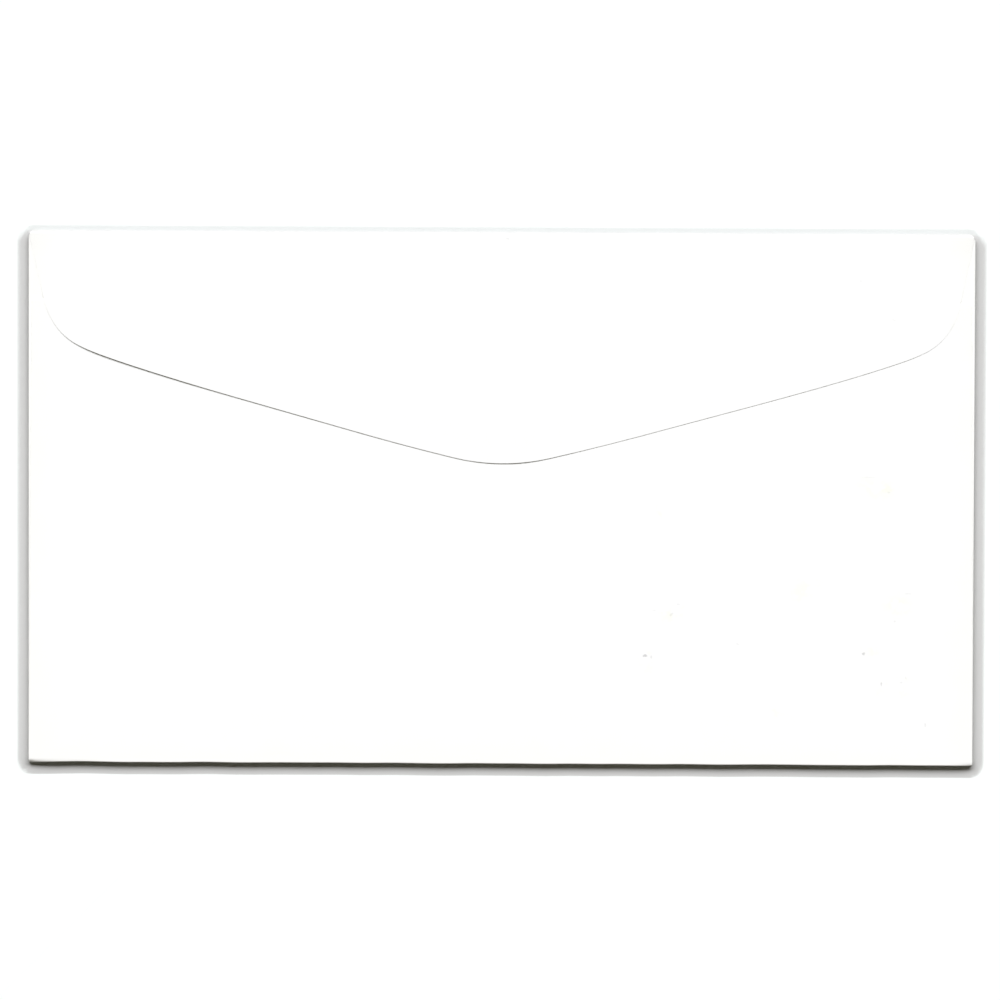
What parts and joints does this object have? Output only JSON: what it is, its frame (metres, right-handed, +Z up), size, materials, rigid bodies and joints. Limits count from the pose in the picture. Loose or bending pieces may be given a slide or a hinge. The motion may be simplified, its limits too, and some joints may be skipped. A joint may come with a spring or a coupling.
{
  "type": "first day cover envelope",
  "caption": "Gummed letter envelope lying face down with its pointed flap folded shut, a stiffener card inside and a perforated stamp on its front.",
  "frame": {"origin": "middle of the face that the cover lies on: the front of the envelope, face down", "axes": "+X along the long side, to the right as the back is read; +Y towards the top fold; +Z up, out of the back and its flap"},
  "size_m": [0.165, 0.0926, 0.0013],
  "materials": {
    "envelope_paper": "smooth uncoated, very slightly cream",
    "card_stock": "plain uncoated card",
    "stamp_paper": "smooth, printed in plain tints"
  },
  "bodies": {
    "root": {"envelope": "envelope_paper", "stiffener_card": "card_stock", "postage_stamp": "stamp_paper"}
  },
  "joints": []
}
